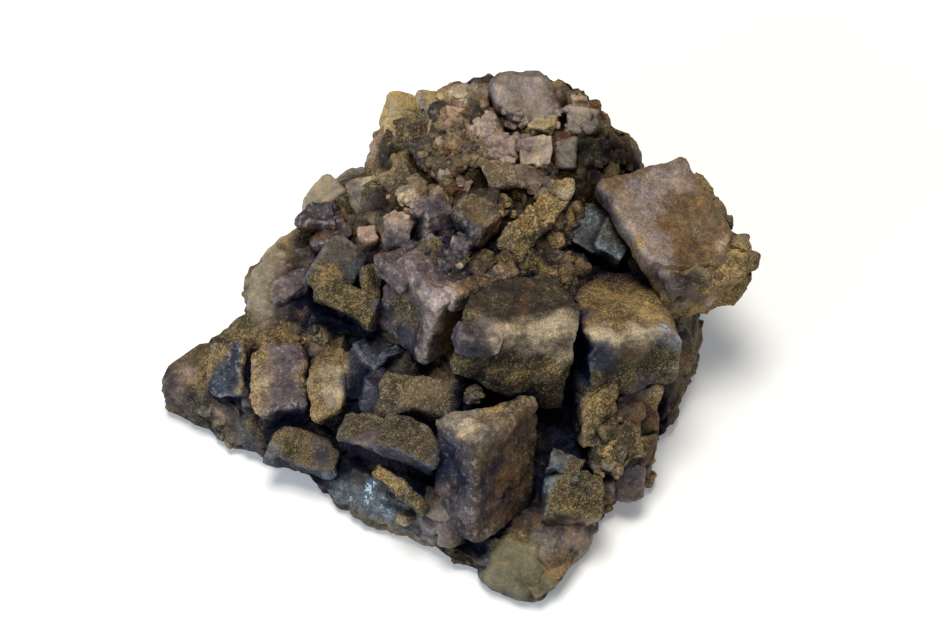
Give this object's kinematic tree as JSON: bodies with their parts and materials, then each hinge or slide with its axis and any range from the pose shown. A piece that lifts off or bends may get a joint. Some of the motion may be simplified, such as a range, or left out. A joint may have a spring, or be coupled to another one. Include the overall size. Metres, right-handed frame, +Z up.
{
  "type": "mineral specimen",
  "caption": "Fluorite specimen: purple and brown cube crystals, partly crusted with ochre, grown on a wedge-shaped lump of rock with a crust of small crystals.",
  "frame": {"origin": "on the flat underside that the specimen rests on, below the middle of its crystals", "axes": "+Z up; +X towards the side with the big overhanging cube, away from the pointed end; -Y towards the front slope that carries the crystals"},
  "size_m": [0.1223, 0.1035, 0.0478],
  "materials": {
    "brown_rock": "uneven brown and grey rock with ochre stain, pale thin edges and pinkish, yellow and grey small crystals",
    "purple_crystal": "dull dark purple fluorite with frosted edges and brown patches",
    "brown_crystal": "waxy brown fluorite with mottled stain and worn pale edges",
    "ochre_crystal": "fine granular ochre crust over dark fluorite",
    "grey_crystal": "bluish grey fluorite with a satin shine"
  },
  "bodies": {
    "root": {"rock_matrix": "brown_rock", "wedge_crystal": "purple_crystal", "centre_crystal": "ochre_crystal", "right_crystal": "ochre_crystal", "corner_crystal": "brown_crystal", "front_crystal": "purple_crystal", "stained_crystal": "ochre_crystal", "right_cluster": "brown_crystal", "hooked_crystal": "ochre_crystal", "small_left_crystal": "brown_crystal", "pocket_crystals": "grey_crystal", "row_crystal_inner": "ochre_crystal", "row_crystal_middle": "purple_crystal", "row_crystal_outer": "purple_crystal", "tan_slab": "brown_crystal", "front_slab": "ochre_crystal", "front_blade": "ochre_crystal", "front_chip": "brown_crystal", "flank_slab": "ochre_crystal", "shoulder_crystal_upper": "purple_crystal", "shoulder_crystal_lower": "purple_crystal"}
  },
  "joints": []
}
